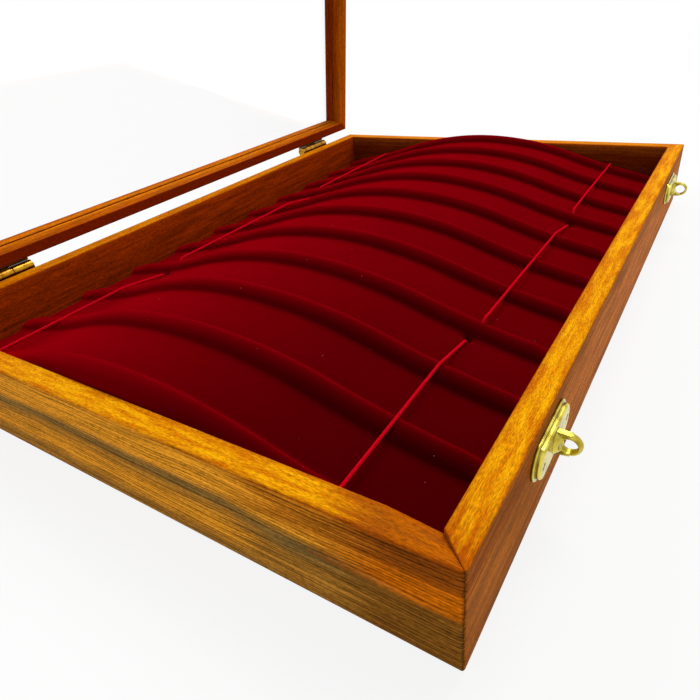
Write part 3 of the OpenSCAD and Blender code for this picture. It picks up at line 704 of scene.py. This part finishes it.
def rays_that_see(tree):
    """1 for a ray from the eye, a mirror or the glass, and 0 for the light that bounces on."""
    path = add(tree, "LightPath").node.outputs
    seen = add(tree, "Math", {0: path["Is Camera Ray"], 1: path["Is Glossy Ray"]}, operation="MAXIMUM")
    return add(tree, "Math", {0: seen, 1: path["Is Transmission Ray"]}, operation="MAXIMUM")


def floor_sheet():
    """A flat sheet of smooth white paper just under the case, far wider than the view. It shows the case's
    shadow close by and runs out to plain white with distance."""
    reach = np.array([(-1, -1, 0), (1, -1, 0), (1, 1, 0), (-1, 1, 0)], dtype=float) * FLOOR_HALF
    reach[:, 2] = -FLOOR_DROP
    floor = mesh_piece("floor", reach, np.array([[0, 1, 2, 3]]))
    material, tree = new_material("white_studio_paper")
    place = add(tree, "TexCoord", out="Object")
    cloud = add(tree, "TexNoise", {"Vector": place, "Scale": 1 / PAPER_CLOUD})
    colour = add(tree, "ValToRGB", {0: cloud}, stops=[(0.0, "#E2E2E0"), (1.0, "#E8E8E7")])
    paper = add(tree, "BsdfPrincipled", {"Base Color": colour, "Roughness": 0.9, "Specular IOR Level": 0.0})
    outside = add(tree, "VectorMath", {0: place}, operation="ABSOLUTE")
    outside = add(tree, "VectorMath", {0: outside, 1: (*CAD_BOX[1][:2], 0)}, operation="SUBTRACT")
    outside = add(tree, "VectorMath", {0: outside, 1: (0, 0, 0)}, operation="MAXIMUM")
    distance = add(tree, "VectorMath", {0: outside}, out="Value", operation="LENGTH")
    fade = add(tree, "MapRange", {"Value": distance, "From Max": SHADOW_REACH, "To Min": SHADOW_WHITE,
                                  "To Max": 1.0}, interpolation_type="SMOOTHSTEP")
    white = add(tree, "Math", {0: fade, 1: rays_that_see(tree)}, operation="MULTIPLY")
    glow = add(tree, "Emission", {"Color": (1, 1, 1, 1), "Strength": 1.0})
    shader = add(tree, "MixShader", {0: white, 1: paper, 2: glow})
    add(tree, "OutputMaterial", {"Surface": shader})
    floor.data.materials.append(material)


def soft_lamp(name, at, aim, width, power):
    """A square soft box that stands at a point and looks at another."""
    data = bpy.data.lights.new(name, "AREA")
    data.shape = "SQUARE"
    data.size = width
    data.energy = power
    lamp = bpy.data.objects.new(name, data)
    bpy.context.scene.collection.objects.link(lamp)
    away = Vector(aim) - Vector(at)
    lamp.matrix_world = Matrix.Translation(at) @ away.to_track_quat("-Z", "Y").to_matrix().to_4x4()


def white_world(glow):
    """White behind all that the eye, a mirror or the glass sees, and a lower even glow for the rest."""
    world = bpy.data.worlds.new("studio")
    world.use_nodes = True
    tree = world.node_tree
    tree.nodes.clear()
    strength = add(tree, "MapRange", {"Value": rays_that_see(tree), "To Min": glow, "To Max": 1.0})
    shader = add(tree, "Background", {"Color": (1, 1, 1, 1), "Strength": strength})
    add(tree, "OutputWorld", {"Surface": shader})
    bpy.context.scene.world = world


# The object's pieces and their finishes

elastic_finish = braided_elastic()
for cord_name in CORDS:
    cord_piece = elastic_cord(cord_name)
    cord_piece.data.materials.append(elastic_finish)
    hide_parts(cord_name)
    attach(cord_piece, "case")

pad = velvet_pad()
pad.data.materials.append(velvet())
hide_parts("velvet_pad", *RIBS)
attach(pad, "case")

# The boards' sizes in millimetres, and how the long and the short ones lie. The lid's are turned back to the
# closed lid
QUARTER = math.pi / 2
OPEN = math.radians(83)
WALL_LOW, WALL_HIGH = np.round(np.array(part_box("back_wall")) / MM, 3)
HALF_L = round(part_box("right_wall")[1][0] / MM, 3)
HALF_D, CASE_H = WALL_HIGH[1:]
WALL = HALF_D - WALL_LOW[1]
LID_WALL, LID_GAP, LID_H = 7, 0.5, 20
LID_LOW = CASE_H + LID_GAP
LID_HIGH = LID_LOW + LID_H
CASE_LONG = Lay((0, 0, 0), HALF_L, HALF_D, HALF_D - WALL, 0, CASE_H)
CASE_SHORT = Lay((0, 0, -QUARTER), HALF_D, HALF_L, HALF_L - WALL, 0, CASE_H)
LID_LONG = Lay((OPEN, 0, 0), HALF_L, HALF_D, HALF_D - LID_WALL, LID_LOW, LID_HIGH)
LID_SHORT = Lay((OPEN, 0, -QUARTER), HALF_D, HALF_L, HALF_L - LID_WALL, LID_LOW, LID_HIGH)

# The stain's tones on the sawn faces, on the top edges, and where it gathers or runs thin
WALNUT, MAHOGANY, REDWOOD, RUSSET = "#6A2402", "#862A00", "#A83C02", "#9A4E10"
UMBER, SLATE, SIENNA, COPPER = "#96601E", "#8E6E38", "#B4661E", "#CC7630"
OCHRE, TAN, HONEY, FLAME = "#C08430", "#D4801C", "#FFAA2C", "#E27608"
RUST, CARAMEL = "#AC4A00", "#CC6E00"
GOLD, AMBER, DEEP_GOLD, BRONZE = "#FFB408", "#D06604", "#EA9004", "#C86804"
LATEWOOD, RED_LATEWOOD, EDGE_STAIN, CORNER_STAIN = "#201204", "#5A1A00", "#B85204", "#2A1810"

# Bands up a board, as heights in millimetres: the left wall has a grey streak under a honey one, which give
# way to a flame-coloured streak at the near corner
LEFT_NEAR = [(0, UMBER), (20, UMBER), (23, FLAME), (29, FLAME), (35, RUSSET), (CASE_H, RUSSET)]
LEFT_MIDDLE = [(0, OCHRE), (15, OCHRE), (20, SLATE), (23, SLATE), (27, HONEY), (31, TAN), (CASE_H, TAN)]
LEFT_FAR = [(0, OCHRE), (5, OCHRE), (11, HONEY), (15, HONEY), (22, OCHRE), (25, SLATE), (30, HONEY),
            (CASE_H, HONEY)]
FRONT_NEAR = [(0, SIENNA), (28, SIENNA), (36, RUSSET), (CASE_H, SIENNA)]
FRONT = [(0, COPPER), (28, COPPER), (CASE_H, SIENNA)]
BACK = [(0, MAHOGANY), (CASE_H, REDWOOD)]
RIGHT = [(0, WALNUT), (33, WALNUT), (CASE_H, RUSSET)]
RAIL = [(LID_LOW, RUST), (50, CARAMEL), (58, CARAMEL), (LID_HIGH, RUST)]
STILE = [(LID_LOW, CARAMEL), (50, RUST), (56, MAHOGANY), (LID_HIGH, MAHOGANY)]

# Each board: how it lies, where its figure is taken from, its zones along the length with the bands and the
# top edge's two tones, its latewood, its stained edges, its underside and how deep its lines are
BOARDS = {
    "left_wall": (CASE_SHORT, (40, 0, 0), [(None, None, LEFT_NEAR, BRONZE, RUSSET),
                                           (-126, -100, LEFT_MIDDLE, GOLD, AMBER),
                                           (-92, -62, LEFT_FAR, GOLD, AMBER)],
                  LATEWOOD, EDGE_STAIN, UMBER, 0.86),
    "right_wall": (CASE_SHORT, (900, 30, 70), [(None, None, RIGHT, DEEP_GOLD, BRONZE)],
                   RED_LATEWOOD, RUST, UMBER, 0.5),
    "front_wall": (CASE_LONG, (300, 15, 210), [(None, None, FRONT_NEAR, BRONZE, EDGE_STAIN),
                                               (-205, -190, FRONT_NEAR, GOLD, AMBER),
                                               (-170, -110, FRONT, GOLD, AMBER)],
                   CORNER_STAIN, EDGE_STAIN, UMBER, 0.7),
    "back_wall": (CASE_LONG, (1500, 55, 130), [(None, None, BACK, DEEP_GOLD, BRONZE)],
                  RED_LATEWOOD, RUST, UMBER, 0.15),
    "lid_back_rail": (LID_LONG, (2100, 10, 400), [(None, None, RAIL, DEEP_GOLD, BRONZE)],
                      REDWOOD, REDWOOD, MAHOGANY, 0.35),
    "lid_front_rail": (LID_LONG, (2700, 40, 500), [(None, None, RAIL, DEEP_GOLD, BRONZE)],
                       REDWOOD, REDWOOD, MAHOGANY, 0.35),
    "lid_left_stile": (LID_SHORT, (3300, 20, 600), [(None, None, RAIL, DEEP_GOLD, BRONZE)],
                       REDWOOD, REDWOOD, RUST, 0.35),
    "lid_right_stile": (LID_SHORT, (3900, 60, 700), [(None, None, STILE, DEEP_GOLD, BRONZE)],
                        RED_LATEWOOD, MAHOGANY, EDGE_STAIN, 0.4),
}
finishes = {board: stained_ash("stained_ash_" + board, *choice) for board, choice in BOARDS.items()}
NODES["glass_pane"].visible_shadow = False  # clear glass lets the lamp's light through
finishes["base_panel"] = plywood()
finishes["glass_pane"] = float_glass()
brass_finish = brass("polished_stamped_brass", "#A08A1A", "#E8D860")  # bright lemon, for the catches
hinge_finish = brass("brown_stamped_brass", "#86540A", "#C8922A")  # darker and browner, for the hinges
finishes.update({hinge_part: hinge_finish for hinge_part in NODES if "hinge" in hinge_part})
for node_name, node_piece in NODES.items():
    node_piece.data.materials.clear()
    node_piece.data.materials.append(finishes.get(node_name, brass_finish))

floor_sheet()
soft_lamp("overhead_soft_box", LAMP_AT, (0, 0, 0), LAMP_WIDTH, LAMP_POWER)
white_world(WORLD_GLOW)
bpy.context.scene.view_settings.view_transform = "Standard"
